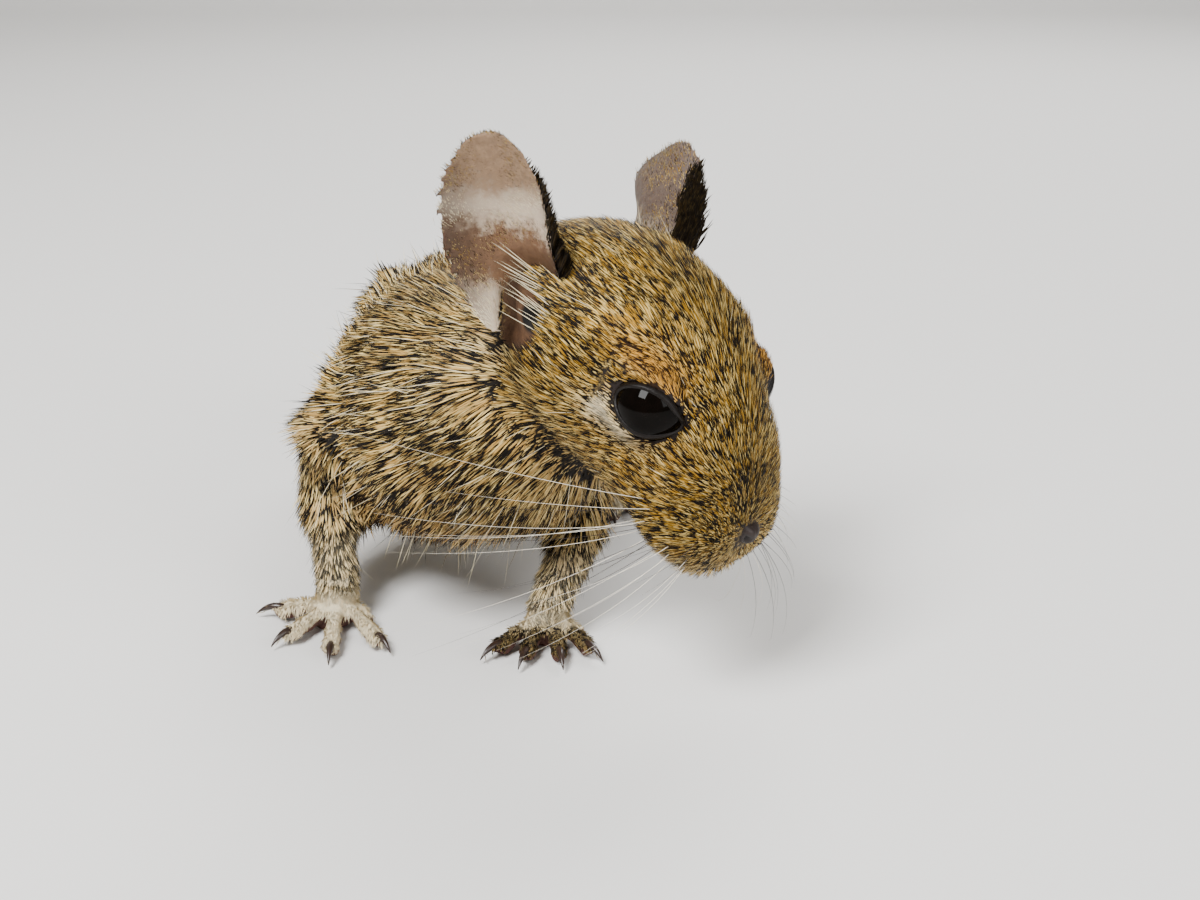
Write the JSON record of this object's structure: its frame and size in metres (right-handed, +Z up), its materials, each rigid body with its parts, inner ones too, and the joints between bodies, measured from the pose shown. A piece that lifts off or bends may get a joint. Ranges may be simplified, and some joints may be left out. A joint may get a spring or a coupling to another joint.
{
  "type": "degu (Octodon degus), young animal, still museum-style model",
  "caption": "Life-size still model of a young degu standing on four feet, head lowered and turned to its left, tufted tail on the floor.",
  "frame": {"origin": "on the floor, under the middle of the whole animal's bounding box", "axes": "+Z up; the animal faces -Y; its left side is towards +X; the tail lies behind it towards +Y"},
  "size_m": [0.061, 0.1602, 0.0608],
  "materials": {
    "coat": "agouti fur, black and straw-yellow banded hairs",
    "pale_coat": "short cream fur of the feet and lower limbs",
    "ear_skin": "thin brown-grey skin with sparse fine hair",
    "eye": "glossy black",
    "claw": "dark horn",
    "brush": "black bristly tail brush"
  },
  "bodies": {
    "root": {"head": "coat", "torso": "coat", "neck": "coat", "eye_left": "eye", "ear_left": "ear_skin", "upper_arm_left": "coat", "forearm_left": "pale_coat", "forefoot_left": "pale_coat", "thigh_left": "coat", "shank_left": "coat", "hindfoot_left": "pale_coat", "eye_right": "eye", "ear_right": "ear_skin", "upper_arm_right": "coat", "forearm_right": "pale_coat", "forefoot_right": "pale_coat", "thigh_right": "coat", "shank_right": "coat", "hindfoot_right": "pale_coat", "tail_base": "coat", "tail_middle": "coat", "tail_tip": "brush"}
  },
  "joints": []
}
